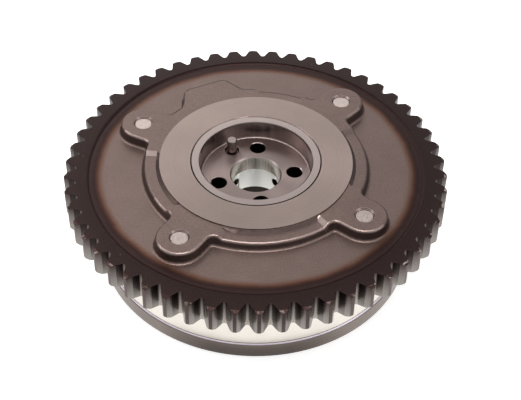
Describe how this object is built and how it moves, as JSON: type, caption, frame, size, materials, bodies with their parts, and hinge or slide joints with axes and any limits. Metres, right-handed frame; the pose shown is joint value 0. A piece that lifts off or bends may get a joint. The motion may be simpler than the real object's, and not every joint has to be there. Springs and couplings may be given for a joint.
{
  "type": "cam phaser",
  "caption": "Round cam phaser: a toothed chain plate bolted to a vane housing and front cover, with a keyed rotor inside that turns to shift camshaft timing.",
  "frame": {"origin": "on the axis of rotation, at the outer face of the front cover, which the phaser stands on", "axes": "+Z along the axis of rotation towards the camshaft, +X to the right and +Y away in the picture's view"},
  "size_m": [0.1098, 0.1098, 0.0324],
  "materials": {
    "sintered_steel": "satin warm grey sintered steel with a dark hardened rim",
    "turned_aluminium": "bright turned wall",
    "ground_steel": "satin ground steel",
    "bolt_steel": "bright plain steel",
    "rotor_steel": "turned steel with fine concentric marks",
    "hardened_steel": "ground hardened steel",
    "spring_steel": "drawn spring steel",
    "seal_polymer": "filled polymer seal strip"
  },
  "bodies": {
    "case": {"sprocket_plate": "sintered_steel", "stator_housing": "turned_aluminium", "front_cover": "ground_steel", "cover_bolts": "bolt_steel", "lock_bush": "hardened_steel", "shoe_seal_1": "seal_polymer", "shoe_seal_2": "seal_polymer", "shoe_seal_3": "seal_polymer", "shoe_seal_4": "seal_polymer", "shoe_seal_spring_1": "spring_steel", "shoe_seal_spring_2": "spring_steel", "shoe_seal_spring_3": "spring_steel", "shoe_seal_spring_4": "spring_steel"},
    "rotor": {"vane_rotor": "rotor_steel", "dowel_pin": "hardened_steel", "lock_spring": "spring_steel", "lock_spring_seat": "bolt_steel", "vane_seal_1": "seal_polymer", "vane_seal_2": "seal_polymer", "vane_seal_3": "seal_polymer", "vane_seal_4": "seal_polymer", "vane_seal_spring_1": "spring_steel", "vane_seal_spring_2": "spring_steel", "vane_seal_spring_3": "spring_steel", "vane_seal_spring_4": "spring_steel"},
    "lock_pin": {"lock_pin": "hardened_steel"}
  },
  "joints": [
    {"name": "rotor_turn", "type": "hinge", "parent": "case", "child": "rotor", "pos_m": [0, 0, 0], "axis": [0, 0, 1], "range_deg": [-30, 0]},
    {"name": "lock_pin_slide", "type": "slide", "parent": "rotor", "child": "lock_pin", "axis": [0, 0, 1], "range_m": [-0.0015, 0], "stiffness_N_per_m": 800, "springref_m": 0.004, "deforming": ["lock_spring"]}
  ]
}
